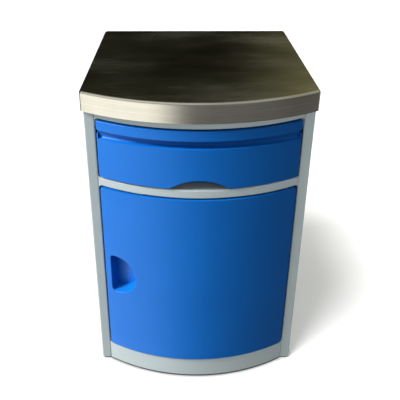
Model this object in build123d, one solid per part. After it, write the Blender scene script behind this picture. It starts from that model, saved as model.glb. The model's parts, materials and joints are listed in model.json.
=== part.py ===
from build123d import *
import os
from math import asin, atan2, cos, degrees, hypot, radians, sin

# Hospital bedside cabinet: a folded steel carcass with a bowed front, a stainless worktop,
# a pull-out board, a drawer on roller runners and a pivoted door. Millimetres, +Z up,
# front towards -Y, origin on the floor under the middle of the overall box.

os.makedirs("parts", exist_ok=True)

# ---------------------------------------------------------------- driving dimensions

TOP_WIDTH = 480.0
TOP_DEPTH = 530.0
HEIGHT = 720.0
TOP_SAG = 68.0
APRON = 43.0
TOP_CORNER = 9.0
TOP_FOLD = 5.0
HEM = 9.0
SHEET = 1.2
CORE = 18.0

BODY_WIDTH = 470.0
STILE_WIDTH = 22.0
STILE_RETURN = 15.0
STILE_FRONT_Y = -195.0
FRAME_SAG = 59.0
BODY_BACK_Y = 258.0
FOOT_HEIGHT = 6.0

PLINTH_TOP = 57.0
MID_RAIL_BOTTOM = 505.0
MID_RAIL_TOP = 525.0
TOP_RAIL_BOTTOM = 660.5
RAIL_DEPTH = 55.0
FOLD = 3.0
OPENING_CORNER = 5.0

PROUD = 3.0
GAP = 3.0
REST_GAP = 2.0
MOULDING = 3.0
CORNER = 7.0
EDGE = 3.0

DOOR_THICKNESS = 34.0
PIVOT_X = 185.0
PIVOT_Y = -196.0
PIN_RADIUS = 3.0
RUNNING_FIT = 0.05

STRIP_BOTTOM = 635.0
BOARD_THICKNESS = 10.0
BOARD_BOTTOM = 644.0
BOARD_TRAVEL = 280.0

CHANNEL_EDGE = 618.5
CHANNEL_DEPTH = 18.0
CHANNEL_END_DEPTH = 8.0
CHANNEL_RIM = 3.0
CHANNEL_HOLLOW = 6.0
SCOOP_WIDTH = 136.0
SCOOP_HEIGHT = 22.0

RAIL_Z = 540.0
ROLLER_RADIUS = 11.6
ROLLER_WIDTH = 7.0
AXLE_RADIUS = 2.5
DRAWER_TRAVEL = 300.0

# ---------------------------------------------------------------- derived dimensions

TOP_HALF = TOP_WIDTH / 2
TOP_FRONT_Y = -TOP_DEPTH / 2
TOP_BACK_Y = TOP_DEPTH / 2
TOP_RADIUS = (TOP_HALF ** 2 + TOP_SAG ** 2) / (2 * TOP_SAG)
APRON_BOTTOM = HEIGHT - APRON
CORE_TOP = HEIGHT - SHEET
CORE_BOTTOM = CORE_TOP - CORE

BODY_HALF = BODY_WIDTH / 2
WALL_INSIDE = BODY_HALF - SHEET
OPENING_HALF = BODY_HALF - STILE_WIDTH
FRAME_RADIUS = (OPENING_HALF ** 2 + FRAME_SAG ** 2) / (2 * FRAME_SAG)
BOW_Y = STILE_FRONT_Y - FRAME_SAG + FRAME_RADIUS
BACK_PANEL_Y = BODY_BACK_Y - 2 * SHEET

FACE_RADIUS = FRAME_RADIUS + PROUD
FRONT_HALF = OPENING_HALF - GAP
DOOR_BOTTOM = PLINTH_TOP + REST_GAP
DOOR_TOP = MID_RAIL_BOTTOM - GAP
LINER = 1.5
LINER_RADIUS = FACE_RADIUS - DOOR_THICKNESS + LINER
STRIP_TOP = TOP_RAIL_BOTTOM - GAP
DRAWER_FACE_BOTTOM = MID_RAIL_TOP + REST_GAP
DRAWER_FACE_TOP = STRIP_BOTTOM - GAP
BOARD_TOP = BOARD_BOTTOM + BOARD_THICKNESS

CHANNEL_GAP = 26.0
RAIL_FLOOR = RAIL_Z + SHEET
RAIL_ROOF = RAIL_FLOOR + CHANNEL_GAP
RAIL_TOP = RAIL_ROOF + SHEET
ROLLER_Z = RAIL_FLOOR + 0.4 + ROLLER_RADIUS
RAIL_WEB = OPENING_HALF - SHEET
ROLLER_OUTER = RAIL_WEB - 1.0
ROLLER_INNER = ROLLER_OUTER - ROLLER_WIDTH
RUNNER_OUTER = ROLLER_INNER - 0.6
BOX_HALF = RUNNER_OUTER - SHEET
FRONT_ROLLER_Y = -166.0
REAR_ROLLER_Y = 212.0

# ---------------------------------------------------------------- shared shapes


def bar(x0, x1, y0, y1, z0, z1):
    """A block between two opposite corners."""
    block = Box(x1 - x0, y1 - y0, z1 - z0)
    return Pos((x0 + x1) / 2, (y0 + y1) / 2, (z0 + z1) / 2) * block


def rod_x(radius, x0, x1, y, z):
    """A round bar along X."""
    return Pos((x0 + x1) / 2, y, z) * Rot(0, 90, 0) * Cylinder(radius, x1 - x0)


def rod_y(radius, x, y0, y1, z):
    """A round bar along Y."""
    return Pos(x, (y0 + y1) / 2, z) * Rot(90, 0, 0) * Cylinder(radius, y1 - y0)


def rod_z(radius, x, y, z0, z1):
    """A round bar along Z."""
    return Pos(x, y, (z0 + z1) / 2) * Cylinder(radius, z1 - z0)


def bow_block(radius, half_width, back_y, z0, z1):
    """A block with a flat back and a front bowed to the given radius."""
    window = bar(-half_width, half_width, BOW_Y - radius - 1, back_y, z0, z1)
    return rod_z(radius, 0, BOW_Y, z0, z1) & window


def bow_sheet(radius, depth, half_width, z0, z1):
    """A curved slab that follows the bow, as deep as given behind its radius."""
    ring = rod_z(radius, 0, BOW_Y, z0, z1) - rod_z(radius - depth, 0, BOW_Y, z0, z1)
    return ring & bar(-half_width, half_width, BOW_Y - radius - 1, BOW_Y, z0, z1)


def on_bow(radius, angle, z):
    """A place on the bow whose own -Y points straight out of the curved front."""
    turn = radians(angle)
    place = (radius * sin(turn), BOW_Y - radius * cos(turn), z)
    return Location(place, (0, 0, angle))


def bow_angle(radius, x):
    """The angle around the bow at which a face of this radius reaches x."""
    return degrees(asin(x / radius))


def level_arcs(part, radius, levels):
    """The level round edges of one radius at the given heights."""
    arcs = part.edges().filter_by(GeomType.CIRCLE)
    arcs = [e for e in arcs if abs(e.radius - radius) < 0.01]
    return [e for e in arcs if min(abs(e.center().Z - z) for z in levels) < 0.01]


def eased_front(body, corner, edge):
    """A bowed front with its four corners rounded and the rim of its face eased."""
    ends = body.edges().filter_by(Axis.Y, tolerance=1)
    body = fillet([e for e in ends if abs(e.center().X) > FRONT_HALF - 1], corner)
    face = body.faces().filter_by(GeomType.CYLINDER).sort_by(SortBy.AREA)[-1]
    return fillet(face.edges(), edge)


def mirrored(part):
    """The same piece for the other side of the cabinet."""
    return mirror(part, about=Plane.YZ)


def both_sides(parts):
    """A list of pieces and their twins on the other side."""
    return list(parts) + [mirrored(p) for p in parts]


def screw(length, radius=2.0, head_radius=3.9, head_height=2.2):
    """A pan-head screw: shank up from z = 0, cross-recessed head below it."""
    head = Pos(0, 0, -head_height / 2) * Cylinder(head_radius, head_height)
    head = fillet(head.edges().group_by(Axis.Z)[0], head_height * 0.45)
    slot = Box(head_radius * 1.1, 0.9, 2.2)
    head -= Pos(0, 0, -head_height) * slot
    head -= Pos(0, 0, -head_height) * Rot(0, 0, 90) * slot
    return head + Pos(0, 0, length / 2) * Cylinder(radius, length)


def rivet(grip, radius=1.6, head_radius=3.2, head_height=1.1):
    """A blind rivet: domed head below z = 0, shank up through the grip, set tail above."""
    head = Pos(0, 0, -head_height / 2) * Cylinder(head_radius, head_height)
    head = fillet(head.edges().group_by(Axis.Z)[0], head_height * 0.8)
    tail = Pos(0, 0, grip + 0.6) * Cylinder(radius * 1.5, 1.2)
    return head + Pos(0, 0, grip / 2) * Cylinder(radius, grip) + tail


def save(name, part):
    """Write one named piece, or one group of equal loose pieces, to its own file."""
    if isinstance(part, list):
        part = Compound(children=[s for p in part for s in p.solids()])
    export_step(part, f"parts/{name}.step")


# ---------------------------------------------------------------- worktop


def top_outline(inset):
    """The worktop's plan, bowed at the front, drawn in by the inset."""
    half = TOP_HALF - inset
    corner_y = TOP_FRONT_Y + TOP_SAG + inset
    back_y = TOP_BACK_Y - inset
    front = ThreePointArc((-half, corner_y), (0, TOP_FRONT_Y + inset), (half, corner_y))
    sides = Polyline((half, corner_y), (half, back_y), (-half, back_y), (-half, corner_y))
    plan = make_face(Curve() + [front, sides])
    return fillet(plan.vertices(), TOP_CORNER - inset)


def top_slab(inset, z0, z1, fold=0.0):
    """A slab of the worktop's plan, with its upper edge folded over if asked."""
    slab = Pos(0, 0, z0) * extrude(top_outline(inset), z1 - z0)
    if fold:
        slab = fillet(slab.edges().group_by(Axis.Z)[-1], fold)
    return slab


WORKTOP_SCREW_X = BODY_HALF - 12.0
WORKTOP_SCREW_YS = (-150.0, 40.0, 222.0)
WORKTOP_SCREW_REACH = 14.0


def worktop_skin():
    """The stainless pan: a pressed top, a turned-down apron and a hemmed lower edge."""
    hollow = top_slab(SHEET, APRON_BOTTOM + HEM, CORE_TOP, TOP_FOLD - SHEET)
    hem_hollow = top_slab(2 * SHEET, APRON_BOTTOM, APRON_BOTTOM + HEM)
    return top_slab(0, APRON_BOTTOM, HEIGHT, TOP_FOLD) - hollow - hem_hollow


def worktop_core():
    """The board bonded inside the pan, with pilot holes for the fixing screws."""
    core = top_slab(SHEET + 0.1, CORE_BOTTOM, CORE_TOP, TOP_FOLD - SHEET + 0.3)
    reach = WORKTOP_SCREW_REACH - SHEET + 0.5
    for y in WORKTOP_SCREW_YS:
        hole = rod_z(2.0 + RUNNING_FIT, WORKTOP_SCREW_X, y, CORE_BOTTOM, CORE_BOTTOM + reach)
        core -= hole
        core -= mirrored(hole)
    return core


def worktop_screws():
    """Six screws up through the side panels' top flanges."""
    z = CORE_BOTTOM - SHEET
    right = [Pos(WORKTOP_SCREW_X, y, z) * screw(WORKTOP_SCREW_REACH) for y in WORKTOP_SCREW_YS]
    return both_sides(right)


# ---------------------------------------------------------------- carcass

FLANGE = 20.0
FOOT_FLANGE = 30.0
FOOT_X = BODY_HALF - 15.0
FOOT_YS = (-158.0, 232.0)
RIVET_X = BODY_HALF - 10.0
RIVET_ZS = (70.0, 215.0, 360.0, 505.0, 650.0)
HOLE = 0.2


def right_side_panel():
    """Side wall, front stile with its return, and rear, top and bottom flanges."""
    points = [
        (OPENING_HALF + SHEET, STILE_FRONT_Y + STILE_RETURN),
        (OPENING_HALF + SHEET, STILE_FRONT_Y + SHEET),
        (WALL_INSIDE, STILE_FRONT_Y + SHEET),
        (WALL_INSIDE, BODY_BACK_Y - SHEET),
        (BODY_HALF - FLANGE, BODY_BACK_Y - SHEET),
    ]
    inner = FilletPolyline(*points, radius=FOLD - SHEET)
    section = make_face(offset(inner, amount=SHEET, side=Side.RIGHT))
    height = CORE_BOTTOM - FOOT_HEIGHT
    panel = Pos(0, 0, FOOT_HEIGHT) * extrude(section, height)
    y0 = STILE_FRONT_Y + SHEET
    y1 = BODY_BACK_Y - SHEET
    panel += bar(BODY_HALF - FLANGE, WALL_INSIDE, y0 + 20, y1, CORE_BOTTOM - SHEET, CORE_BOTTOM)
    panel += bar(BODY_HALF - FOOT_FLANGE, WALL_INSIDE, y0 + 18, y1, FOOT_HEIGHT, FOOT_HEIGHT + SHEET)
    for y in WORKTOP_SCREW_YS:
        panel -= rod_z(2.0 + HOLE, WORKTOP_SCREW_X, y, CORE_BOTTOM - 5, CORE_BOTTOM)
    for y in FOOT_YS:
        panel -= rod_z(2.5 + HOLE, FOOT_X, y, FOOT_HEIGHT, FOOT_HEIGHT + SHEET)
    for z in RIVET_ZS:
        panel -= rod_y(1.6 + RUNNING_FIT, RIVET_X, y1 - 1, BODY_BACK_Y, z)
    return panel


def back_panel():
    """The sheet that closes the rear, with a stiffening fold along its top."""
    half = WALL_INSIDE - (FOLD - SHEET) - 0.2
    top = CORE_BOTTOM - SHEET - 0.3
    front = BACK_PANEL_Y
    panel = bar(-half, half, front, front + SHEET, PLINTH_TOP - 30, top)
    panel += bar(FLANGE - half, half - FLANGE, front - 18, front, top - SHEET, top)
    for z in RIVET_ZS:
        hole = rod_y(1.6 + RUNNING_FIT, RIVET_X, front, front + SHEET, z)
        panel -= hole
        panel -= mirrored(hole)
    return panel


def back_rivets():
    """Blind rivets down both rear flanges."""
    place = Rot(90, 0, 0)
    right = [Pos(RIVET_X, BODY_BACK_Y, z) * place * rivet(2 * SHEET) for z in RIVET_ZS]
    return both_sides(right)


def bowed_channel(z0, z1, depth, folds):
    """A bowed rail: a curved face with a flange along its top and its bottom."""
    rail = bow_sheet(FRAME_RADIUS, depth, OPENING_HALF, z0, z1)
    rail -= bow_sheet(FRAME_RADIUS - SHEET, depth, OPENING_HALF + 1, z0 + SHEET, z1 - SHEET)
    return fillet(level_arcs(rail, FRAME_RADIUS, folds), FOLD)


def opening_corners(edge_z, away):
    """Small webs that round a rail's inner corners; away is +1 above the rail, -1 below it."""
    size = OPENING_CORNER
    z0, z1 = sorted((edge_z - away * FOLD, edge_z + away * size))
    web = bow_sheet(FRAME_RADIUS, SHEET, OPENING_HALF, z0, z1)
    web &= bar(OPENING_HALF - size, OPENING_HALF, STILE_FRONT_Y - FRAME_SAG, 0, z0, z1)
    web -= rod_y(size, OPENING_HALF - size, STILE_FRONT_Y - FRAME_SAG, 0, edge_z + away * size)
    return web + mirrored(web)


def pivot_hole(z0, z1, clearance):
    """The round hole on the door's pivot axis."""
    return rod_z(PIN_RADIUS + clearance, PIVOT_X, PIVOT_Y, z0, z1)


def hinge_frame(z):
    """A place on the door's pivot axis, turned square to the bow."""
    depth = BOW_Y - PIVOT_Y
    return on_bow(hypot(PIVOT_X, depth), degrees(atan2(PIVOT_X, depth)), z)


def hinge_screw_holes(radius, z0, z1):
    """The holes for the two screws of a hinge plate, either side of the pivot."""
    return [hinge_frame(0) * rod_z(radius, x, HINGE_SCREW_DEPTH, z0, z1) for x in HINGE_SCREW_XS]


HINGE_SCREW_XS = (-17.0, 17.0)
HINGE_SCREW_DEPTH = 4.0
CATCH_ANGLE = -24.0
CATCH_RADIUS = LINER_RADIUS - LINER
CATCH_BOTTOM = 484.0
CATCH_SCREW_DEPTH = 18.0
CATCH_SCREW_X = 13.0


def catch_frame():
    """The magnetic catch's own place, against the closed door's inner face."""
    return on_bow(CATCH_RADIUS, CATCH_ANGLE, 0)


def top_rail():
    """The bowed rail under the worktop's apron."""
    rail = bowed_channel(TOP_RAIL_BOTTOM, CORE_BOTTOM, 22.0, [TOP_RAIL_BOTTOM])
    return rail + opening_corners(TOP_RAIL_BOTTOM, -1)


def mid_rail():
    """The bowed rail between the drawer and the door, a broad channel."""
    rail = bowed_channel(MID_RAIL_BOTTOM, MID_RAIL_TOP, RAIL_DEPTH, [MID_RAIL_BOTTOM, MID_RAIL_TOP])
    rail += opening_corners(MID_RAIL_BOTTOM, -1)
    rail += opening_corners(MID_RAIL_TOP, 1)
    rail -= pivot_hole(MID_RAIL_BOTTOM, MID_RAIL_BOTTOM + SHEET, HOLE)
    for hole in hinge_screw_holes(2.0 + RUNNING_FIT, MID_RAIL_BOTTOM, MID_RAIL_BOTTOM + SHEET):
        rail -= hole
    for x in (-CATCH_SCREW_X, CATCH_SCREW_X):
        hole = rod_z(1.5 + HOLE, x, CATCH_SCREW_DEPTH, MID_RAIL_BOTTOM, MID_RAIL_BOTTOM + SHEET)
        rail -= catch_frame() * hole
    return rail


def plinth():
    """The bowed kick plate under the door."""
    rail = bowed_channel(FOOT_HEIGHT, PLINTH_TOP, 36.0, [PLINTH_TOP])
    rail += opening_corners(PLINTH_TOP, 1)
    rail -= bow_sheet(FRAME_RADIUS - 15, 40, OPENING_HALF + 1, FOOT_HEIGHT, FOOT_HEIGHT + SHEET)
    rail -= pivot_hole(PLINTH_TOP - SHEET, PLINTH_TOP, HOLE)
    for hole in hinge_screw_holes(2.0 + RUNNING_FIT, PLINTH_TOP - SHEET, PLINTH_TOP):
        rail -= hole
    return rail


def base_panel():
    """The cupboard's floor, under the kick plate's flange, with turned-down sides."""
    top = PLINTH_TOP - SHEET
    bottom = top - SHEET
    half = WALL_INSIDE - 0.2
    clear_y = STILE_FRONT_Y + STILE_RETURN + 1
    panel = bow_block(FRAME_RADIUS - SHEET - 0.3, OPENING_HALF - 0.5, clear_y, bottom, top)
    panel += bar(-half, half, clear_y, BACK_PANEL_Y - 0.3, bottom, top)
    panel += bar(half - SHEET, half, clear_y + 5, BACK_PANEL_Y - 8, bottom - 22, bottom)
    panel += bar(-half, SHEET - half, clear_y + 5, BACK_PANEL_Y - 8, bottom - 22, bottom)
    panel -= pivot_hole(bottom, top, HOLE)
    for hole in hinge_screw_holes(2.0 + RUNNING_FIT, bottom, top):
        panel -= hole
    return panel


SHELF_Z = 270.0
SHELF_FRONT_Y = -148.0
SHELF_BACK_Y = 250.0


def cupboard_shelf():
    """A steel shelf with turned-down front and rear edges."""
    half = WALL_INSIDE - (FOLD - SHEET) - 0.2
    shelf = bar(-half, half, SHELF_FRONT_Y, SHELF_BACK_Y, SHELF_Z - SHEET, SHELF_Z)
    shelf += bar(-half, half, SHELF_FRONT_Y, SHELF_FRONT_Y + SHEET, SHELF_Z - 16, SHELF_Z)
    shelf += bar(-half, half, SHELF_BACK_Y - SHEET, SHELF_BACK_Y, SHELF_Z - 16, SHELF_Z)
    front_edge = shelf.edges().filter_by(Axis.X).sort_by(Axis.Y)[:2].sort_by(Axis.Z)[-1]
    return fillet(front_edge, SHEET)


def right_shelf_bracket():
    """An angle spot-welded to the side wall, under the shelf's edge."""
    top = SHELF_Z - SHEET
    y0 = SHELF_FRONT_Y + 10
    y1 = SHELF_BACK_Y - 10
    upright = bar(WALL_INSIDE - SHEET, WALL_INSIDE, y0, y1, top - 18, top)
    return upright + bar(WALL_INSIDE - 18, WALL_INSIDE - SHEET, y0, y1, top - SHEET, top)


def rubber_feet():
    """Four turned rubber feet, recessed below for their screw heads."""
    foot = Pos(0, 0, FOOT_HEIGHT / 2) * Cone(12.5, 14.0, FOOT_HEIGHT)
    foot = fillet(foot.edges().group_by(Axis.Z)[0], 1.2)
    foot -= Pos(0, 0, 1.75) * Cylinder(6.0, 3.5)
    foot -= Pos(0, 0, FOOT_HEIGHT / 2) * Cylinder(2.5 + HOLE, FOOT_HEIGHT)
    return both_sides([Pos(FOOT_X, y, 0) * foot for y in FOOT_YS])


def foot_screws():
    """The screws through the feet and the bottom flanges."""
    one = screw(12.0, 2.5, 4.8, 2.4)
    return both_sides([Pos(FOOT_X, y, 3.5) * one for y in FOOT_YS])


def foot_nuts():
    """Hexagon nuts on the bottom flanges."""
    nut = extrude(RegularPolygon(4.6, 6), 4.0) - Pos(0, 0, 2) * Cylinder(2.5 + RUNNING_FIT, 4.0)
    return both_sides([Pos(FOOT_X, y, FOOT_HEIGHT + SHEET) * nut for y in FOOT_YS])


# ---------------------------------------------------------------- pull-out board

GUIDE_FRONT_Y = STILE_FRONT_Y + 3.4
GUIDE_BACK_Y = 240.0
BOARD_CLEAR = 0.4
GUIDE_WALL = 1.5
GUIDE_REACH = 11.0
BOARD_HALF = RAIL_WEB - 0.6
BOARD_BACK_Y = 190.0
STRIP_BACK_Y = STILE_FRONT_Y + 3.0
TONGUE_HALF = 140.0
TONGUE_Y = -212.0
STOP_TAB_Y = -111.0
BOARD_SCREW_XS = (35.0, 110.0)
BOARD_SCREW_Y = -202.0
FINGER_GROOVE = 7.0


def right_board_guide():
    """A channel that carries one edge of the board, with a stop tab on top."""
    z0 = BOARD_BOTTOM - BOARD_CLEAR - GUIDE_WALL
    z1 = BOARD_TOP + BOARD_CLEAR + GUIDE_WALL
    inner = OPENING_HALF - GUIDE_REACH
    guide = bar(inner, OPENING_HALF, GUIDE_FRONT_Y, GUIDE_BACK_Y, z0, z1)
    guide -= bar(inner, RAIL_WEB, GUIDE_FRONT_Y, GUIDE_BACK_Y, z0 + GUIDE_WALL, z1 - GUIDE_WALL)
    tab = bar(inner - GUIDE_REACH, inner + 5, STOP_TAB_Y, STOP_TAB_Y + SHEET, z1, z1 + 6)
    return guide + tab


def board_panel():
    """The sliding board, with a tongue that enters its front strip."""
    panel = bar(-BOARD_HALF, BOARD_HALF, STRIP_BACK_Y, BOARD_BACK_Y, BOARD_BOTTOM, BOARD_TOP)
    corners = panel.edges().filter_by(Axis.Z).sort_by(Axis.Y)[-2:]
    panel = fillet(corners, 6.0)
    panel += bar(-TONGUE_HALF, TONGUE_HALF, TONGUE_Y, STRIP_BACK_Y, BOARD_BOTTOM, BOARD_TOP)
    for x in BOARD_SCREW_XS:
        hole = rod_z(2.0 + RUNNING_FIT, x, BOARD_SCREW_Y, BOARD_BOTTOM, BOARD_BOTTOM + 8)
        panel -= hole
        panel -= mirrored(hole)
    return panel


def board_front():
    """The bowed strip on the board's front edge, grooved below for the fingers."""
    strip = bow_block(FACE_RADIUS, FRONT_HALF, STRIP_BACK_Y, STRIP_BOTTOM, STRIP_TOP)
    strip = eased_front(strip, CORNER - 0.5, EDGE - 0.7)
    groove_half = FRONT_HALF - 12
    strip -= bow_sheet(FACE_RADIUS - 4, 16, groove_half, STRIP_BOTTOM, STRIP_BOTTOM + FINGER_GROOVE)
    slot_half = TONGUE_HALF + HOLE
    z0 = BOARD_BOTTOM - RUNNING_FIT
    z1 = BOARD_TOP + RUNNING_FIT
    strip -= bar(-slot_half, slot_half, TONGUE_Y - HOLE, STRIP_BACK_Y, z0, z1)
    for x in BOARD_SCREW_XS:
        shank = rod_z(2.0 + HOLE, x, BOARD_SCREW_Y, STRIP_BOTTOM, BOARD_BOTTOM)
        head = rod_z(4.3, x, BOARD_SCREW_Y, STRIP_BOTTOM, STRIP_BOTTOM + 3)
        for cut in both_sides([shank, head]):
            strip -= cut
    return strip


def board_screws():
    """Screws up through the strip into the board's tongue."""
    z = STRIP_BOTTOM + 3
    length = BOARD_BOTTOM + 7 - z
    return both_sides([Pos(x, BOARD_SCREW_Y, z) * screw(length) for x in BOARD_SCREW_XS])


def board_stops():
    """Nylon blocks on the board that meet the guides' tabs at full travel."""
    y = STOP_TAB_Y + SHEET + BOARD_TRAVEL + 1.0
    block = bar(OPENING_HALF - 23, OPENING_HALF - 13, y, y + 15, BOARD_TOP, BOARD_TOP + 7)
    return both_sides([fillet(block.edges().filter_by(Axis.Z), 2.0)])


# ---------------------------------------------------------------- drawer runners

RAIL_FRONT_Y = STILE_FRONT_Y + 6.4
RAIL_BACK_Y = 240.0
RAIL_STOP_Y = REAR_ROLLER_Y + ROLLER_RADIUS + 1.0
RAIL_SCREW_YS = (STILE_FRONT_Y + 11.4, 233.0)
RAIL_SCREW_Z = ROLLER_Z
BRACKET_FRONT_Y = 226.0


def right_drawer_rail():
    """The cabinet's half of a runner: a channel with a rear stop and a front dimple."""
    inner = ROLLER_INNER - 0.2
    rail = bar(inner, OPENING_HALF, RAIL_FRONT_Y, RAIL_BACK_Y, RAIL_Z, RAIL_TOP)
    rail -= bar(inner, RAIL_WEB, RAIL_FRONT_Y, RAIL_BACK_Y, RAIL_FLOOR, RAIL_ROOF)
    rail += bar(inner, RAIL_WEB, RAIL_STOP_Y, RAIL_STOP_Y + SHEET, RAIL_FLOOR, RAIL_ROOF)
    dimple_y = REAR_ROLLER_Y - DRAWER_TRAVEL - 10
    rail += bar(inner + 1, RAIL_WEB, dimple_y, dimple_y + 2, RAIL_FLOOR, RAIL_FLOOR + 3)
    rail -= rod_x(AXLE_RADIUS + RUNNING_FIT, RAIL_WEB, OPENING_HALF, FRONT_ROLLER_Y, ROLLER_Z)
    for y in RAIL_SCREW_YS:
        rail -= rod_x(2.0 + HOLE, RAIL_WEB, OPENING_HALF, y, RAIL_SCREW_Z)
    return rail


def right_rail_bracket():
    """The upright that holds the rear ends of the board guide and the drawer rail."""
    z0 = RAIL_Z - 4
    z1 = BOARD_TOP + 8
    front = BRACKET_FRONT_Y
    rear = RAIL_BACK_Y + 6
    bracket = bar(OPENING_HALF, OPENING_HALF + SHEET, front, rear, z0, z1)
    bracket += bar(OPENING_HALF, WALL_INSIDE, rear - SHEET, rear, z0, z1)
    bracket += bar(WALL_INSIDE - SHEET, WALL_INSIDE, front, rear, z0, z1)
    hole_end = OPENING_HALF + SHEET
    return bracket - rod_x(2.0 + RUNNING_FIT, OPENING_HALF, hole_end, RAIL_SCREW_YS[1], RAIL_SCREW_Z)


def stile_with_rail_hole(panel):
    """The side panel with the runner's front screw hole in its return."""
    hole_end = OPENING_HALF + SHEET
    return panel - rod_x(2.0 + RUNNING_FIT, OPENING_HALF, hole_end, RAIL_SCREW_YS[0], RAIL_SCREW_Z)


def rail_screws():
    """Screws that fix both rails, front and rear."""
    place = Rot(0, 90, 0)
    one = screw(2 * SHEET, 2.0, 3.6, 1.6)
    return both_sides([Pos(RAIL_WEB, y, RAIL_SCREW_Z) * place * one for y in RAIL_SCREW_YS])


def roller(outward):
    """A nylon roller about X at the origin, counterbored on the axle head's side."""
    wheel = rod_x(ROLLER_RADIUS, 0, ROLLER_WIDTH, 0, 0)
    wheel = fillet(wheel.edges(), 0.8)
    wheel -= rod_x(AXLE_RADIUS + RUNNING_FIT, 0, ROLLER_WIDTH, 0, 0)
    bore_x = ROLLER_WIDTH - 1.8 if outward else 0
    return wheel - rod_x(5.2, bore_x, bore_x + 1.8, 0, 0)


def right_front_roller():
    """The roller at the mouth of the cabinet's rail."""
    return Pos(ROLLER_INNER, FRONT_ROLLER_Y, ROLLER_Z) * roller(False)


def right_rear_roller():
    """The roller at the tail of the drawer's runner."""
    return Pos(ROLLER_INNER, REAR_ROLLER_Y, ROLLER_Z) * roller(True)


def front_axles():
    """Rivet axles fixed in the rails' webs."""
    y = FRONT_ROLLER_Y
    axle = rod_x(AXLE_RADIUS, ROLLER_INNER + 0.4, OPENING_HALF, y, ROLLER_Z)
    axle += rod_x(4.4, ROLLER_INNER + 0.4, ROLLER_INNER + 1.5, y, ROLLER_Z)
    axle += rod_x(4.0, OPENING_HALF, OPENING_HALF + 0.9, y, ROLLER_Z)
    return both_sides([axle])


def rear_axles():
    """Rivet axles fixed through the runners and the drawer's sides."""
    y = REAR_ROLLER_Y
    tip = ROLLER_OUTER - 0.4
    axle = rod_x(AXLE_RADIUS, BOX_HALF - SHEET, tip, y, ROLLER_Z)
    axle += rod_x(4.4, tip - 1.1, tip, y, ROLLER_Z)
    axle += rod_x(4.0, BOX_HALF - SHEET - 0.9, BOX_HALF - SHEET, y, ROLLER_Z)
    return both_sides([axle])


def right_drawer_runner():
    """The drawer's half of a runner: a web and a flange that rides on the front roller."""
    y0 = DRAWER_INNER_Y + SHEET + 0.2
    y1 = REAR_ROLLER_Y + 4
    flange_z = ROLLER_Z + ROLLER_RADIUS + 0.4
    runner = bar(BOX_HALF, RUNNER_OUTER, y0, y1, RAIL_FLOOR + 1, flange_z + SHEET)
    runner += bar(RUNNER_OUTER, ROLLER_OUTER, y0, y1, flange_z, flange_z + SHEET)
    return runner - rod_x(AXLE_RADIUS + RUNNING_FIT, BOX_HALF, RUNNER_OUTER, REAR_ROLLER_Y, ROLLER_Z)


# ---------------------------------------------------------------- drawer

DRAWER_INNER_Y = -190.0
BOX_BOTTOM = 531.0
BOX_TOP = 612.0
BOX_BACK_Y = 220.0
DRAWER_SCREWS = [(62.0, 602.0), (165.0, 602.0), (165.0, 548.0)]
BOSS_RADIUS = 5.5


CHANNEL_HALF = FRONT_HALF - CHANNEL_RIM
FACE_FALL = FACE_RADIUS - (FACE_RADIUS ** 2 - CHANNEL_HALF ** 2) ** 0.5
CHANNEL_FALL = FACE_FALL - (CHANNEL_DEPTH - CHANNEL_END_DEPTH)
CHANNEL_RADIUS = (CHANNEL_HALF ** 2 + CHANNEL_FALL ** 2) / (2 * CHANNEL_FALL)
CHANNEL_AXIS_Y = BOW_Y - FACE_RADIUS + CHANNEL_DEPTH + CHANNEL_RADIUS
SCOOP_BACK_Y = -222.0
SCOOP_REACH = 60.0


def channel_profile():
    """The finger channel's section, across radius and height about its own axis."""
    floor = CHANNEL_RADIUS
    front = CHANNEL_RADIUS + CHANNEL_DEPTH + 8
    top = DRAWER_FACE_TOP + 4
    path = Polyline((floor, top), (floor, CHANNEL_EDGE), (front, CHANNEL_EDGE), (front, top), (floor, top))
    face = make_face(path)
    hollow = face.vertices().sort_by(Axis.Y)[:2].sort_by(Axis.X)[0]
    return fillet(hollow, CHANNEL_HOLLOW)


def channel_cutter(grow):
    """The finger channel along the drawer's top, its floor flatter than the bowed face."""
    profile = channel_profile()
    if grow:
        profile = offset(profile, amount=grow)
    spin = Plane.XZ * profile
    ring = Pos(0, CHANNEL_AXIS_Y, 0) * Rot(0, 0, 180) * revolve(spin, Axis.Z, 180)
    half = CHANNEL_HALF + grow
    front_y = BOW_Y - FACE_RADIUS - 6
    window = bar(-half, half, front_y, DRAWER_INNER_Y, CHANNEL_EDGE - grow, DRAWER_FACE_TOP + 6)
    low = window.edges().filter_by(Axis.Y).sort_by(Axis.Z)[:2]
    return ring & fillet(low, 2.0 + grow)


def scoop_cutter():
    """The arched finger opening in the drawer front's lower edge."""
    half = SCOOP_WIDTH / 2
    foot = DRAWER_FACE_BOTTOM - 1
    crown = DRAWER_FACE_BOTTOM + SCOOP_HEIGHT
    shoulder = (half * 0.52, DRAWER_FACE_BOTTOM + SCOOP_HEIGHT * 0.72)
    left = (-shoulder[0], shoulder[1])
    slopes = [(1, 0.5), (1, -0.5)]
    arch = Spline((-half, foot), left, (0, crown), shoulder, (half, foot), tangents=slopes)
    face = make_face(Curve() + [arch, Line((half, foot), (-half, foot))])
    return Pos(0, SCOOP_BACK_Y, 0) * extrude(Plane.XZ * face, SCOOP_REACH)


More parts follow.
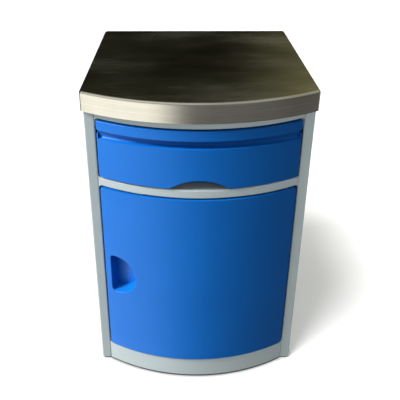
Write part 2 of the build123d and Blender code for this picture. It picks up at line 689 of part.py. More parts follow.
def drawer_front():
    """The moulded drawer front: a bowed shell with a finger channel and a scoop."""
    z0 = DRAWER_FACE_BOTTOM
    z1 = DRAWER_FACE_TOP
    body = bow_block(FACE_RADIUS, FRONT_HALF, DRAWER_INNER_Y, z0, z1)
    body = eased_front(body, CORNER, EDGE)
    wall = MOULDING
    hollow = bow_block(FACE_RADIUS - wall, FRONT_HALF - wall, DRAWER_INNER_Y, z0 + wall, z1 - wall)
    hollow -= channel_cutter(wall)
    for x, z in DRAWER_SCREWS:
        for boss in both_sides([rod_y(BOSS_RADIUS, x, BOW_Y - FACE_RADIUS, DRAWER_INNER_Y, z)]):
            hollow -= boss
    body = body - hollow - channel_cutter(0) - scoop_cutter()
    for x, z in DRAWER_SCREWS:
        for hole in both_sides([rod_y(1.8 + RUNNING_FIT, x, DRAWER_INNER_Y - 10, DRAWER_INNER_Y, z)]):
            body -= hole
    return body


def drawer_inner_front():
    """The box's own flat front plate."""
    y = DRAWER_INNER_Y
    plate = bar(-BOX_HALF, BOX_HALF, y, y + SHEET, BOX_BOTTOM, BOX_TOP)
    for x, z in DRAWER_SCREWS:
        for hole in both_sides([rod_y(1.8 + HOLE, x, y, y + SHEET, z)]):
            plate -= hole
    return plate


def drawer_screws():
    """Screws from inside the box into the front's bosses."""
    place = Rot(90, 0, 0)
    one = screw(9.0, 1.8, 3.6, 2.0)
    y = DRAWER_INNER_Y + SHEET
    return both_sides([Pos(x, y, z) * place * one for x, z in DRAWER_SCREWS])


def right_drawer_side():
    """A side sheet with a rolled safe edge along its top."""
    y0 = DRAWER_INNER_Y + SHEET
    side = bar(BOX_HALF - SHEET, BOX_HALF, y0, BOX_BACK_Y, BOX_BOTTOM, BOX_TOP)
    side += rod_y(1.8, BOX_HALF - 1.8, y0, BOX_BACK_Y, BOX_TOP - 1.8)
    return side - rod_x(AXLE_RADIUS + RUNNING_FIT, BOX_HALF - SHEET, BOX_HALF, REAR_ROLLER_Y, ROLLER_Z)


def drawer_bottom():
    """The box's floor."""
    inside = BOX_HALF - SHEET
    y0 = DRAWER_INNER_Y + SHEET
    return bar(-inside, inside, y0, BOX_BACK_Y - SHEET, BOX_BOTTOM + 2, BOX_BOTTOM + 2 + SHEET)


def drawer_back():
    """The box's rear sheet."""
    inside = BOX_HALF - SHEET
    return bar(-inside, inside, BOX_BACK_Y - SHEET, BOX_BACK_Y, BOX_BOTTOM, BOX_TOP - 4)


# ---------------------------------------------------------------- door

POCKET_Z = 280.0
POCKET_ANGLE = (bow_angle(FACE_RADIUS, -197.5) + bow_angle(FACE_RADIUS, -139.5)) / 2
POCKET_HALF_WIDTH = 31.5
POCKET_HALF_HEIGHT = 49.5
POCKET_DEPTH = 29.0
POCKET_WALL = 2.5
POCKET_SLOPE = 14.0
POCKET_UNDERCUT = 7.0
POCKET_LIP = 5.5
POCKET_RIM = 2.0
HINGE_PLATE = 2.0
UPPER_PLATE_Z = MID_RAIL_BOTTOM + SHEET
LOWER_PLATE_Z = PLINTH_TOP - 2 * SHEET - HINGE_PLATE
DOOR_SCREW_ANGLES = (-26.8, 0.0, 26.8)
DOOR_SCREW_ZS = (76.0, 476.0)
BUSH_RADIUS = 5.5
BUSH_FLANGE = 8.0
BUSH_LENGTH = 13.0


def pocket_outline(grow=0.0):
    """The pull's D shape: straight on the left, round on the right, corners eased."""
    left = -POCKET_HALF_WIDTH - grow
    high = POCKET_HALF_HEIGHT + grow
    curve = ThreePointArc((left, high), (POCKET_HALF_WIDTH + grow, 0), (left, -high))
    face = make_face(Curve() + [curve, Line((left, -high), (left, high))])
    return Plane.XZ * fillet(face.vertices(), 9.0 + grow)


def pocket_frame():
    """The pull's own place, square to the curved face."""
    return on_bow(FACE_RADIUS, POCKET_ANGLE, POCKET_Z)


def pocket_bowl(grow, lip):
    """A sloping bowl, and the same bowl shifted to undercut the straight edge behind its lip."""
    depth = POCKET_DEPTH + grow
    bowl = extrude(pocket_outline(grow), -depth, taper=POCKET_SLOPE)
    reach = POCKET_HALF_HEIGHT * 2
    behind = bar(-reach, reach, lip, depth, -reach, reach)
    return bowl + (Pos(-POCKET_UNDERCUT, 0, 0) * bowl & behind)


def pocket_cutter():
    """The scooped pull: the bowl and its open mouth."""
    return pocket_bowl(0.0, POCKET_LIP) + extrude(pocket_outline(), POCKET_LIP * 2)


def pocket_rim(part):
    """The edges around the pull's mouth, on the bowed face."""
    local = pocket_frame().inverse()
    rim = []
    for edge in part.edges():
        box = (local * edge).bounding_box()
        wide = max(-box.min.X, box.max.X) < POCKET_HALF_WIDTH + 1
        high = max(-box.min.Z, box.max.Z) < POCKET_HALF_HEIGHT + 1
        if wide and high and box.max.Y < POCKET_LIP / 2:
            rim.append(edge)
    return rim


def door_skin():
    """The door's outer moulding: bowed face, rim, pull, screw bosses and pivot bosses."""
    z0 = DOOR_BOTTOM
    z1 = DOOR_TOP
    wall = MOULDING
    body = bow_sheet(FACE_RADIUS, DOOR_THICKNESS, FRONT_HALF, z0, z1)
    body = eased_front(body, CORNER, EDGE)
    depth = DOOR_THICKNESS - wall
    hollow = bow_sheet(FACE_RADIUS - wall, depth + 1, FRONT_HALF - wall, z0 + wall, z1 - wall)
    hollow -= pocket_frame() * pocket_bowl(POCKET_WALL, 0.0)
    boss_depth = depth - LINER - 0.3
    for angle in DOOR_SCREW_ANGLES:
        for z in DOOR_SCREW_ZS:
            boss = rod_y(BOSS_RADIUS, 0, 0, boss_depth, 0)
            hollow -= on_bow(FACE_RADIUS - wall, angle, z) * boss
    for low, high in ((z0 + wall, z0 + wall + BUSH_LENGTH), (z1 - wall - BUSH_LENGTH, z1 - wall)):
        hollow -= rod_z(BUSH_RADIUS + 3, PIVOT_X, PIVOT_Y, low, high)
    body = body - hollow - pocket_frame() * pocket_cutter()
    body = fillet(pocket_rim(body), POCKET_RIM)
    for angle in DOOR_SCREW_ANGLES:
        for z in DOOR_SCREW_ZS:
            hole = rod_y(1.8 + RUNNING_FIT, 0, boss_depth - 12, boss_depth, 0)
            body -= on_bow(FACE_RADIUS - wall, angle, z) * hole
    bush_bore = BUSH_RADIUS + RUNNING_FIT
    body -= rod_z(bush_bore, PIVOT_X, PIVOT_Y, z0, z0 + wall + BUSH_LENGTH)
    body -= rod_z(bush_bore, PIVOT_X, PIVOT_Y, z1 - wall - BUSH_LENGTH, z1)
    return body


def door_liner():
    """The flexible sheet that closes the door's inner side."""
    half = FRONT_HALF - MOULDING - 0.4
    z0 = DOOR_BOTTOM + MOULDING + 0.4
    z1 = DOOR_TOP - MOULDING - 0.4
    liner = bow_sheet(LINER_RADIUS, LINER, half, z0, z1)
    for angle in DOOR_SCREW_ANGLES:
        for z in DOOR_SCREW_ZS:
            liner -= on_bow(LINER_RADIUS, angle, z) * rod_y(1.8 + HOLE, 0, -1, LINER + 1, 0)
    for x in (-STRIKE_RIVET_X, STRIKE_RIVET_X):
        liner -= catch_frame() * rod_y(1.6 + RUNNING_FIT, x, -LINER - 1, 1, STRIKE_Z)
    return liner


def door_screws():
    """Screws through the liner into the door's bosses."""
    screws = []
    for angle in DOOR_SCREW_ANGLES:
        for z in DOOR_SCREW_ZS:
            place = on_bow(LINER_RADIUS - LINER - 0.1, angle, z) * Rot(90, 0, 0)
            screws.append(place * screw(11.0, 1.8, 3.6, 2.0))
    return screws


def hinge_plate(z0):
    """A steel plate that stiffens a rail's flange around the door's pivot."""
    plate = bar(-24, 24, -8, 14, z0, z0 + HINGE_PLATE)
    plate = hinge_frame(0) * fillet(plate.edges().filter_by(Axis.Z), 4.0)
    plate -= pivot_hole(z0, z0 + HINGE_PLATE, RUNNING_FIT)
    for hole in hinge_screw_holes(2.0 + HOLE, z0, z0 + HINGE_PLATE):
        plate -= hole
    return plate


PIN_HEAD = 5.5
PIN_REACH = 12.0


def upper_hinge_pin():
    """The headed pin that drops through the mid rail into the door's top."""
    top = UPPER_PLATE_Z + HINGE_PLATE
    pin = rod_z(PIN_RADIUS, PIVOT_X, PIVOT_Y, DOOR_TOP - PIN_REACH, top)
    pin = chamfer(pin.edges().group_by(Axis.Z)[0], 0.8)
    return pin + rod_z(PIN_HEAD, PIVOT_X, PIVOT_Y, top, top + 1.8)


def lower_hinge_pin():
    """The headed pin that stands up through the floor into the door's foot."""
    bottom = LOWER_PLATE_Z
    pin = rod_z(PIN_RADIUS, PIVOT_X, PIVOT_Y, bottom, DOOR_BOTTOM + PIN_REACH)
    pin = chamfer(pin.edges().group_by(Axis.Z)[-1], 0.8)
    return pin + rod_z(PIN_HEAD, PIVOT_X, PIVOT_Y, bottom - 1.8, bottom)


def hinge_bush(face_z, inward):
    """A flanged nylon bush in the end of the door; inward is +1 at the foot, -1 at the top."""
    ends = sorted((face_z, face_z + inward * BUSH_LENGTH))
    lips = sorted((face_z, face_z - inward * 1.6))
    bush = rod_z(BUSH_RADIUS, PIVOT_X, PIVOT_Y, *ends) + rod_z(BUSH_FLANGE, PIVOT_X, PIVOT_Y, *lips)
    return bush - pivot_hole(min(ends + lips), max(ends + lips), RUNNING_FIT)


def hinge_screws():
    """Two screws in each hinge plate, heads on the plate's side."""
    grip = HINGE_PLATE + SHEET
    screws = []
    for x in HINGE_SCREW_XS:
        foot = Pos(x, HINGE_SCREW_DEPTH, LOWER_PLATE_Z) * screw(grip + SHEET)
        head = Pos(x, HINGE_SCREW_DEPTH, UPPER_PLATE_Z + HINGE_PLATE) * Rot(180, 0, 0) * screw(grip)
        screws += [hinge_frame(0) * foot, hinge_frame(0) * head]
    return screws


# ---------------------------------------------------------------- catch

STRIKE_Z = CATCH_BOTTOM + 7.0
STRIKE_RIVET_X = 15.0
STRIKE_GAP = 0.5
STRIKE_THICKNESS = 1.2
MAGNET_GAP = 0.4


def strike_plate():
    """The steel strip on the door's liner that the magnet holds."""
    y0 = STRIKE_GAP
    plate = bar(-19, 19, y0, y0 + STRIKE_THICKNESS, STRIKE_Z - 6, STRIKE_Z + 6)
    plate = fillet(plate.edges().filter_by(Axis.Y), 2.0)
    for x in (-STRIKE_RIVET_X, STRIKE_RIVET_X):
        plate -= rod_y(1.6 + RUNNING_FIT, x, y0, y0 + STRIKE_THICKNESS, STRIKE_Z)
    return catch_frame() * plate


def strike_rivets():
    """Flush rivets that hold the strike plate."""
    rivets = []
    for x in (-STRIKE_RIVET_X, STRIKE_RIVET_X):
        shank = rod_y(1.6, x, -LINER - 0.9, STRIKE_GAP + STRIKE_THICKNESS, STRIKE_Z)
        tail = rod_y(2.8, x, -LINER - 0.9, -LINER - 0.1, STRIKE_Z)
        rivets.append(catch_frame() * (shank + tail))
    return rivets


def catch_body():
    """The catch's moulded housing, hung under the mid rail's flange."""
    front = STRIKE_GAP + STRIKE_THICKNESS + MAGNET_GAP + 0.6
    housing = bar(-18, 18, front, front + 24, CATCH_BOTTOM, MID_RAIL_BOTTOM)
    housing = fillet(housing.edges().filter_by(Axis.Z), 2.5)
    housing -= bar(-10.2, 10.2, front, front + 12.2, STRIKE_Z - 5.2, STRIKE_Z + 5.2)
    for x in (-CATCH_SCREW_X, CATCH_SCREW_X):
        housing -= rod_z(1.5 + HOLE, x, CATCH_SCREW_DEPTH, CATCH_BOTTOM, MID_RAIL_BOTTOM)
        housing -= rod_z(3.3, x, CATCH_SCREW_DEPTH, CATCH_BOTTOM, CATCH_BOTTOM + 4)
    return catch_frame() * housing


def catch_magnet():
    """The magnet between its two steel pole plates."""
    front = STRIKE_GAP + STRIKE_THICKNESS + MAGNET_GAP
    block = bar(-10, 10, front + 0.8, front + 12.5, STRIKE_Z - 5, STRIKE_Z + 5)
    poles = bar(-10, 10, front, front + 0.8, STRIKE_Z - 5, STRIKE_Z - 3)
    poles += bar(-10, 10, front, front + 0.8, STRIKE_Z + 3, STRIKE_Z + 5)
    return catch_frame() * (block + poles)


def catch_screws():
    """Two screws up into the mid rail's flange."""
    z = CATCH_BOTTOM + 4
    length = MID_RAIL_BOTTOM + SHEET + 1.5 - z
    one = screw(length, 1.5, 3.0, 1.8)
    return [catch_frame() * Pos(x, CATCH_SCREW_DEPTH, z) * one for x in (-CATCH_SCREW_X, CATCH_SCREW_X)]


# ---------------------------------------------------------------- write every node


def save_pair(name, right):
    """Write a right-hand piece and its left-hand twin."""
    save(f"right_{name}", right)
    save(f"left_{name}", mirrored(right))


save("worktop_skin", worktop_skin())
save("worktop_core", worktop_core())
save("worktop_screws", worktop_screws())

save_pair("side_panel", stile_with_rail_hole(right_side_panel()))
save("back_panel", back_panel())
save("back_rivets", back_rivets())
save("top_rail", top_rail())
save("mid_rail", mid_rail())
save("plinth", plinth())
save("base_panel", base_panel())
save("cupboard_shelf", cupboard_shelf())
save_pair("shelf_bracket", right_shelf_bracket())
save("rubber_feet", rubber_feet())
save("foot_screws", foot_screws())
save("foot_nuts", foot_nuts())

save_pair("board_guide", right_board_guide())
save("board_panel", board_panel())
save("board_front", board_front())
save("board_screws", board_screws())
save("board_stops", board_stops())

save_pair("drawer_rail", right_drawer_rail())
save_pair("rail_bracket", right_rail_bracket())
save("rail_screws", rail_screws())
save("front_roller_axles", front_axles())
save("rear_roller_axles", rear_axles())
save_pair("front_roller", right_front_roller())
save_pair("rear_roller", right_rear_roller())
save_pair("drawer_runner", right_drawer_runner())

save("drawer_front", drawer_front())
save("drawer_inner_front", drawer_inner_front())
save("drawer_screws", drawer_screws())
save_pair("drawer_side", right_drawer_side())
save("drawer_bottom", drawer_bottom())
save("drawer_back", drawer_back())

save("door_skin", door_skin())
save("door_liner", door_liner())
save("door_screws", door_screws())
save("upper_hinge_plate", hinge_plate(UPPER_PLATE_Z))
save("lower_hinge_plate", hinge_plate(LOWER_PLATE_Z))
save("upper_hinge_pin", upper_hinge_pin())
save("lower_hinge_pin", lower_hinge_pin())
save("upper_hinge_bush", hinge_bush(DOOR_TOP, -1))
save("lower_hinge_bush", hinge_bush(DOOR_BOTTOM, 1))
save("hinge_screws", hinge_screws())
save("strike_plate", strike_plate())
save("strike_rivets", strike_rivets())
save("catch_body", catch_body())
save("catch_magnet", catch_magnet())
save("catch_screws", catch_screws())
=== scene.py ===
import json
from math import cos, radians, sin

import bpy
from mathutils import Matrix, Vector

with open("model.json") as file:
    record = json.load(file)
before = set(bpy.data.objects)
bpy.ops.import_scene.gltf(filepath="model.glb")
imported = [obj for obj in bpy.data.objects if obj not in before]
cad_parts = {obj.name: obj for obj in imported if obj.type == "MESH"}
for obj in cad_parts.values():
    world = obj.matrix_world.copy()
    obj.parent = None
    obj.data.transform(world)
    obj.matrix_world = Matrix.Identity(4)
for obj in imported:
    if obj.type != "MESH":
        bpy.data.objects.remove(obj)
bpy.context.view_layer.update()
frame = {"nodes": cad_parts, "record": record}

scene = bpy.context.scene
NODES = frame["nodes"]
SUBPARTS = frame["record"]["subparts"]


# ---------------------------------------------------------------- node helpers


class Shader:
    """A material under construction: a Principled shader and short calls that feed it."""

    def __init__(self, name):
        self.material = bpy.data.materials.new(name)
        self.material.use_nodes = True
        self.tree = self.material.node_tree
        self.nodes = self.tree.nodes
        self.principled = self.nodes["Principled BSDF"]
        self.place = self.nodes.new("ShaderNodeTexCoord").outputs["Object"]

    def link(self, source, target):
        self.tree.links.new(source, target)

    def set(self, **values):
        """Set the shader's own sockets, by name with underscores for spaces."""
        for name, value in values.items():
            self.principled.inputs[name.replace("_", " ")].default_value = value
        return self

    def feed(self, name, source):
        self.link(source, self.principled.inputs[name])

    def stretched(self, scale):
        """Object coordinates multiplied by a scale for each axis."""
        node = self.nodes.new("ShaderNodeMapping")
        node.inputs["Scale"].default_value = scale
        self.link(self.place, node.inputs["Vector"])
        return node.outputs["Vector"]

    def noise(self, scale, detail=3.0, roughness=0.5, stretch=(1, 1, 1)):
        """A noise value, with its scale in features per metre."""
        node = self.nodes.new("ShaderNodeTexNoise")
        self.link(self.stretched(tuple(scale * s for s in stretch)), node.inputs["Vector"])
        node.inputs["Scale"].default_value = 1.0
        node.inputs["Detail"].default_value = detail
        node.inputs["Roughness"].default_value = roughness
        return node.outputs["Fac"]

    def spread(self, source, low, high, start=0.3, end=0.7):
        """A value stretched from one range to another."""
        node = self.nodes.new("ShaderNodeMapRange")
        for key, value in (("From Min", start), ("From Max", end), ("To Min", low), ("To Max", high)):
            node.inputs[key].default_value = value
        self.link(source, node.inputs["Value"])
        return node.outputs["Result"]

    def math(self, operation, a, b):
        node = self.nodes.new("ShaderNodeMath")
        node.operation = operation
        for socket, value in zip(node.inputs, (a, b)):
            if isinstance(value, (int, float)):
                socket.default_value = value
            else:
                self.link(value, socket)
        return node.outputs[0]

    def blend(self, factor, a, b):
        """Two colours mixed by a value."""
        node = self.nodes.new("ShaderNodeMix")
        node.data_type = "RGBA"
        self.link(factor, node.inputs["Factor"])
        for key, value in (("A", a), ("B", b)):
            socket = [s for s in node.inputs if s.name == key and s.type == "RGBA"][0]
            if isinstance(value, tuple):
                socket.default_value = (*value, 1.0)
            else:
                self.link(value, socket)
        return [s for s in node.outputs if s.type == "RGBA"][0]

    def either(self, factor, a, b):
        """One of two values, chosen by a factor of 0 or 1."""
        node = self.nodes.new("ShaderNodeMix")
        for socket, source in zip(node.inputs, (factor, None, a, b)):
            if source is not None:
                self.link(source, socket)
        return node.outputs[0]

    def bump(self, height, distance, strength=1.0):
        node = self.nodes.new("ShaderNodeBump")
        node.inputs["Distance"].default_value = distance
        node.inputs["Strength"].default_value = strength
        self.link(height, node.inputs["Height"])
        self.feed("Normal", node.outputs["Normal"])


def grained(name, light, dark, rough, grain, depth, **fixed):
    """A coated or moulded surface: slow colour drift, fine grain, uneven gloss."""
    s = Shader(name)
    s.set(**fixed)
    drift = s.spread(s.noise(7.0, 4.0), 0.0, 1.0)
    s.feed("Base Color", s.blend(drift, light, dark))
    s.feed("Roughness", s.spread(s.noise(60.0, 5.0), rough[0], rough[1]))
    s.bump(s.noise(grain, 2.0), depth)
    return s.material


def moulded_blue():
    """Satin ABS with a faint spark-eroded grain."""
    light = (0.0035, 0.142, 0.555)
    dark = (0.0028, 0.130, 0.520)
    finish = {"IOR": 1.46, "Specular_IOR_Level": 0.25}
    return grained("moulded_blue", light, dark, (0.34, 0.42), 900.0, 0.00003, **finish)


def powder_coat():
    """Light grey powder coat with a soft orange peel."""
    light = (0.335, 0.395, 0.41)
    dark = (0.315, 0.372, 0.386)
    return grained("powder_coat", light, dark, (0.42, 0.52), 480.0, 0.00005, IOR=1.46)


def brushed_stainless():
    """Stainless steel, brushed in long fine streaks across the width."""
    s = Shader("brushed_stainless")
    s.set(Metallic=1.0, Anisotropic=0.5)
    turn = s.nodes.new("ShaderNodeTangent")
    turn.direction_type = "RADIAL"
    turn.axis = "X"
    s.feed("Tangent", turn.outputs["Tangent"])
    along, across = 4.0, 1100.0
    flat = s.noise(1.0, 5.0, 0.65, (along, across, along))
    upright = s.noise(1.0, 5.0, 0.65, (along, along, across))
    geometry = s.nodes.new("ShaderNodeNewGeometry")
    split = s.nodes.new("ShaderNodeSeparateXYZ")
    s.link(geometry.outputs["Normal"], split.inputs["Vector"])
    nearly_level = 0.7
    level = s.math("GREATER_THAN", s.math("ABSOLUTE", split.outputs["Z"], 0.0), nearly_level)
    streak = s.either(level, upright, flat)
    broad = s.noise(1.0, 3.0, 0.5, (4.0, 7.0, 2.0))
    tone = s.math("ADD", s.math("MULTIPLY", streak, 0.45), s.math("MULTIPLY", broad, 0.55))
    darkest, lightest = 0.38, 0.62
    smoky, bright = (0.45, 0.43, 0.35), (0.78, 0.76, 0.68)
    s.feed("Base Color", s.blend(s.spread(tone, 0.0, 1.0, darkest, lightest), smoky, bright))
    s.feed("Roughness", s.spread(tone, 0.15, 0.30, darkest, lightest))
    s.bump(streak, 0.00002)
    return s.material


def particle_board():
    """Raw particle board: pressed chips of mixed tone."""
    s = Shader("particle_board")
    chips = s.nodes.new("ShaderNodeTexVoronoi")
    s.link(s.stretched((160.0, 260.0, 260.0)), chips.inputs["Vector"])
    chips.inputs["Scale"].default_value = 1.0
    tone = s.nodes.new("ShaderNodeSeparateColor")
    s.link(chips.outputs["Color"], tone.inputs["Color"])
    s.feed("Base Color", s.blend(tone.outputs[0], (0.42, 0.29, 0.17), (0.60, 0.45, 0.29)))
    s.feed("Roughness", s.spread(s.noise(300.0), 0.75, 0.9))
    s.bump(chips.outputs["Distance"], 0.0002)
    return s.material


def plated_steel():
    """Bright zinc plate with a mottled lustre."""
    s = Shader("plated_steel")
    s.set(Metallic=1.0)
    mottle = s.spread(s.noise(450.0, 4.0), 0.0, 1.0)
    s.feed("Base Color", s.blend(mottle, (0.56, 0.56, 0.54), (0.70, 0.70, 0.67)))
    s.feed("Roughness", s.spread(s.noise(900.0), 0.25, 0.42))
    s.bump(s.noise(1500.0), 0.00002)
    return s.material


def ferrite():
    """Dark sintered ferrite, with a metal's shine."""
    light, dark = (0.09, 0.09, 0.095), (0.14, 0.14, 0.145)
    return grained("ferrite", light, dark, (0.4, 0.55), 1500.0, 0.00004, Metallic=0.6)


# Each coating by its slot: name, lighter colour, darker colour, roughness range, grain, depth.
GRAINED_SLOTS = {
    "rail_steel": ("epoxy_white", (0.56, 0.57, 0.56), (0.52, 0.53, 0.52), (0.32, 0.42), 600.0, 0.00004),
    "liner_plastic": ("liner_grey", (0.36, 0.39, 0.41), (0.33, 0.36, 0.38), (0.48, 0.6), 1100.0, 0.00006),
    "board_laminate": ("laminate", (0.47, 0.49, 0.49), (0.43, 0.45, 0.45), (0.28, 0.36), 1400.0, 0.00003),
    "rubber": ("black_rubber", (0.022, 0.022, 0.023), (0.035, 0.035, 0.036), (0.7, 0.85), 1200.0, 0.00008),
    "nylon": ("natural_nylon", (0.76, 0.75, 0.69), (0.70, 0.69, 0.63), (0.40, 0.5), 900.0, 0.00003),
    "black_plastic": ("catch_black", (0.02, 0.02, 0.021), (0.03, 0.03, 0.031), (0.45, 0.55), 1300.0, 0.00005),
}

SLOT_MATERIALS = {slot: grained(*coating) for slot, coating in GRAINED_SLOTS.items()}
SLOT_MATERIALS.update(
    stainless=brushed_stainless(),
    core_board=particle_board(),
    powder_coat=powder_coat(),
    blue_plastic=moulded_blue(),
    zinc_steel=plated_steel(),
    magnet=ferrite(),
)


def finish_frame_nodes():
    """Give every CAD node the detailed material of its slot."""
    for entry in SUBPARTS:
        node = NODES[entry["node"]]
        node.data.materials.clear()
        node.data.materials.append(SLOT_MATERIALS[entry["material_slot"]])


finish_frame_nodes()


# ---------------------------------------------------------------- floor, light, camera

CENTRE = Vector((0.0, 0.0, 0.36))


def from_direction(round_front, height):
    """A unit vector by degrees round from the front (-Y, right is +) and above the floor."""
    turn, rise = radians(round_front), radians(height)
    return Vector((sin(turn) * cos(rise), -cos(turn) * cos(rise), sin(rise)))


KEY = from_direction(-75.0, 42.0)
FLOOR_KEY = from_direction(-47.0, 62.0)
BACK_FILL = from_direction(148.0, 32.0)
FRAME_FILL = from_direction(33.0, 8.0)
OVERHEAD = Vector((0.0, 0.0, 1.0))


def stage_mesh(name, corners, faces, material):
    """A piece of the studio, which isn't part of the object."""
    mesh = bpy.data.meshes.new(name)
    mesh.from_pydata(corners, [], faces)
    mesh.materials.append(material)
    piece = bpy.data.objects.new(name, mesh)
    scene.collection.objects.link(piece)
    return piece


def studio_floor():
    """A plain white floor. It takes shadows, has painted shade darkened into its colour under what stands on
    it, and throws no light back up.
    """
    contact_reach, painted_contact_shade = 0.02, (0.04, 0.04, 0.04)
    s = Shader("floor_white")
    # Painted shade: an ambient-occlusion value blends the floor's colour towards near-black close to what
    # stands on it, standing in for contact shadow.
    near = s.nodes.new("ShaderNodeAmbientOcclusion")
    near.inputs["Distance"].default_value = contact_reach
    white = s.blend(s.noise(0.8), (0.83, 0.83, 0.83), (0.85, 0.85, 0.85))
    unshaded_amount = s.spread(near.outputs["AO"], 0.0, 1.0, start=0.25, end=0.8)
    s.feed("Base Color", s.blend(unshaded_amount, painted_contact_shade, white))
    s.set(Roughness=0.9, Specular_IOR_Level=0.1)
    size = 14.0
    corners = [(-size, -size, 0), (size, -size, 0), (size, size, 0), (-size, size, 0)]
    floor = stage_mesh("studio_floor", corners, [(0, 1, 2, 3)], s.material)
    floor.visible_diffuse = False
    floor.visible_glossy = False
    return floor


def studio_walls():
    """White walls behind everything, seen by the camera only."""
    s = Shader("wall_white")
    s.feed("Base Color", s.blend(s.noise(0.5), (0.01, 0.01, 0.01), (0.02, 0.02, 0.02)))
    s.set(Emission_Color=(1, 1, 1, 1), Emission_Strength=1.0, Specular_IOR_Level=0.0)
    sides, radius, bottom, top = 24, 13.0, -0.1, 14.0
    corners = []
    for z in (bottom, top):
        for side in range(sides):
            angle = radians(360.0 * side / sides)
            corners.append((radius * cos(angle), radius * sin(angle), z))
    faces = [(i, (i + 1) % sides, (i + 1) % sides + sides, i + sides) for i in range(sides)]
    walls = stage_mesh("studio_walls", corners, faces, s.material)
    walls.visible_diffuse = False
    walls.visible_glossy = False
    walls.visible_shadow = False


def sun(name, direction, strength, softness):
    """A light from far off, with soft-edged shadows. Its softness is the sun's width in degrees."""
    distance = 5.0
    light = bpy.data.lights.new(name, "SUN")
    light.energy = strength
    light.angle = radians(softness)
    lamp = bpy.data.objects.new(name, light)
    lamp.location = CENTRE + direction * distance
    lamp.rotation_euler = (-direction).to_track_quat("-Z", "Y").to_euler()
    scene.collection.objects.link(lamp)
    return lamp


def light_only(lamp, pieces, state):
    """INCLUDE: the lamp lights those pieces alone. EXCLUDE: it lights everything else."""
    group = bpy.data.collections.new(f"{lamp.name}_{state.lower()}")
    for piece in pieces:
        group.objects.link(piece)
    for member in group.collection_objects:
        member.light_linking.link_state = state
    lamp.light_linking.receiver_collection = group


def studio_lights(floor):
    """A key from the upper left, softer ones for the floor, and fills for the back and the coated frame."""
    coated = [NODES[entry["node"]] for entry in SUBPARTS if entry["material_slot"] == "powder_coat"]
    light_only(sun("key", KEY, 5.5, 20.0), [floor, NODES["worktop_skin"]], "EXCLUDE")
    light_only(sun("floor_key", FLOOR_KEY, 2.9, 19.0), [floor], "INCLUDE")
    light_only(sun("floor_fill", OVERHEAD, 1.35, 100.0), [floor], "INCLUDE")
    light_only(sun("frame_fill", FRAME_FILL, 1.38, 40.0), coated, "INCLUDE")
    back = sun("back_fill", BACK_FILL, 2.7, 25.0)
    back.visible_glossy = False
    light_only(back, [floor], "EXCLUDE")


class Surround:
    """The world's own nodes: its brightness as sums and products of ramps along the axes."""

    def __init__(self, tree):
        self.tree = tree
        self.split = tree.nodes.new("ShaderNodeSeparateXYZ")
        place = tree.nodes.new("ShaderNodeTexCoord").outputs["Generated"]
        tree.links.new(place, self.split.inputs[0])

    def ramp(self, axis, start, end, low, high):
        """A smooth change from low to high, between two heights or sides of the view."""
        node = self.tree.nodes.new("ShaderNodeMapRange")
        node.interpolation_type = "SMOOTHSTEP"
        for key, value in (("From Min", start), ("From Max", end), ("To Min", low), ("To Max", high)):
            node.inputs[key].default_value = value
        self.tree.links.new(self.split.outputs[axis], node.inputs["Value"])
        return node.outputs["Result"]

    def combine(self, operation, first, *others):
        """The values joined one after another by the same operation."""
        for other in others:
            node = self.tree.nodes.new("ShaderNodeMath")
            node.operation = operation
            self.tree.links.new(first, node.inputs[0])
            self.tree.links.new(other, node.inputs[1])
            first = node.outputs[0]
        return first

    def product(self, *values):
        return self.combine("MULTIPLY", *values)

    def total(self, *values):
        return self.combine("ADD", *values)


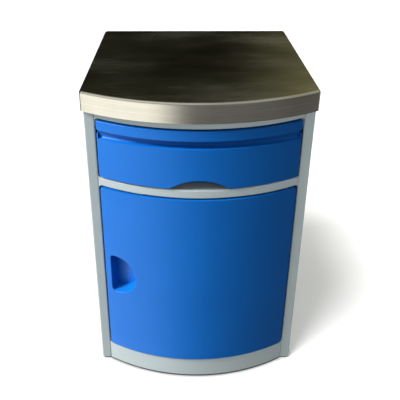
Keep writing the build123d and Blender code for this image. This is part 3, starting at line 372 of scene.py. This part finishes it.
def studio_world():
    """What the steel mirrors.

    In front it is bright low on the left and dim elsewhere. Behind it is nearly black, with a glow on the
    right, a little light low down, and an olive tint in a band above the horizon.
    """
    world = bpy.data.worlds.new("studio_world")
    world.use_nodes = True
    tree = world.node_tree
    w = Surround(tree)

    low_left = w.product(w.ramp("X", -0.05, -0.45, 0.0, 1.38), w.ramp("Z", 0.0, -0.25, 0.0, 1.0))
    above = w.product(w.ramp("Z", 0.0, 0.5, 0.0, 0.45), w.ramp("X", -0.6, 0.3, 1.7, 0.55))
    base = w.ramp("X", -0.6, 0.8, 0.18, 0.13)
    front = w.total(low_left, above, base)

    glow = w.product(w.ramp("X", 0.08, 0.32, 0.0, 0.44), w.ramp("Z", 0.24, 0.40, 0.08, 1.0))
    low_back = w.ramp("Z", 0.02, -0.2, 0.0, 0.25)
    high_back = w.ramp("Z", 0.27, 0.6, 0.006, 0.05)
    back = w.total(glow, low_back, high_back)

    front_to_back = ("Y", -0.15, 0.35)
    in_front, behind = w.ramp(*front_to_back, 1.0, 0.0), w.ramp(*front_to_back, 0.0, 1.0)
    level = w.total(w.product(front, in_front), w.product(back, behind))

    tint = tree.nodes.new("ShaderNodeMix")
    tint.data_type = "RGBA"
    band = w.product(behind, w.ramp("Z", 0.0, 0.2, 0.0, 1.0), w.ramp("Z", 0.45, 0.75, 1.0, 0.25))
    tree.links.new(band, tint.inputs["Factor"])
    neutral, olive = [socket for socket in tint.inputs if socket.type == "RGBA"]
    neutral.default_value = (1.0, 0.985, 0.95, 1.0)
    olive.default_value = (1.0, 0.97, 0.52, 1.0)
    shade = [socket for socket in tint.outputs if socket.type == "RGBA"][0]
    background = tree.nodes["Background"]
    tree.links.new(shade, background.inputs["Color"])
    tree.links.new(level, background.inputs["Strength"])
    scene.world = world


def studio_camera():
    """The camera, at the photograph's height and distance, looking down from a little left of the middle."""
    place = Vector((-0.0385, -1.2759, 1.1186))
    yaw, pitch, roll = radians(-0.17), radians(-27.11), radians(-0.11)
    ahead = Vector((sin(yaw) * cos(pitch), cos(yaw) * cos(pitch), sin(pitch)))
    level = Vector((cos(yaw), -sin(yaw), 0.0))
    over = level.cross(ahead)
    right = level * cos(roll) + over * sin(roll)
    up = over * cos(roll) - level * sin(roll)
    data = bpy.data.cameras.new("camera")
    data.sensor_width = 36.0
    data.lens = 52.1
    data.shift_x = 0.053
    data.shift_y = -0.1
    camera = bpy.data.objects.new("camera", data)
    turn = Matrix((right, up, -ahead)).transposed().to_4x4()
    camera.matrix_world = Matrix.Translation(place) @ turn
    scene.collection.objects.link(camera)
    scene.camera = camera


scene.view_settings.view_transform = "Standard"
studio_lights(studio_floor())
studio_walls()
studio_world()
studio_camera()
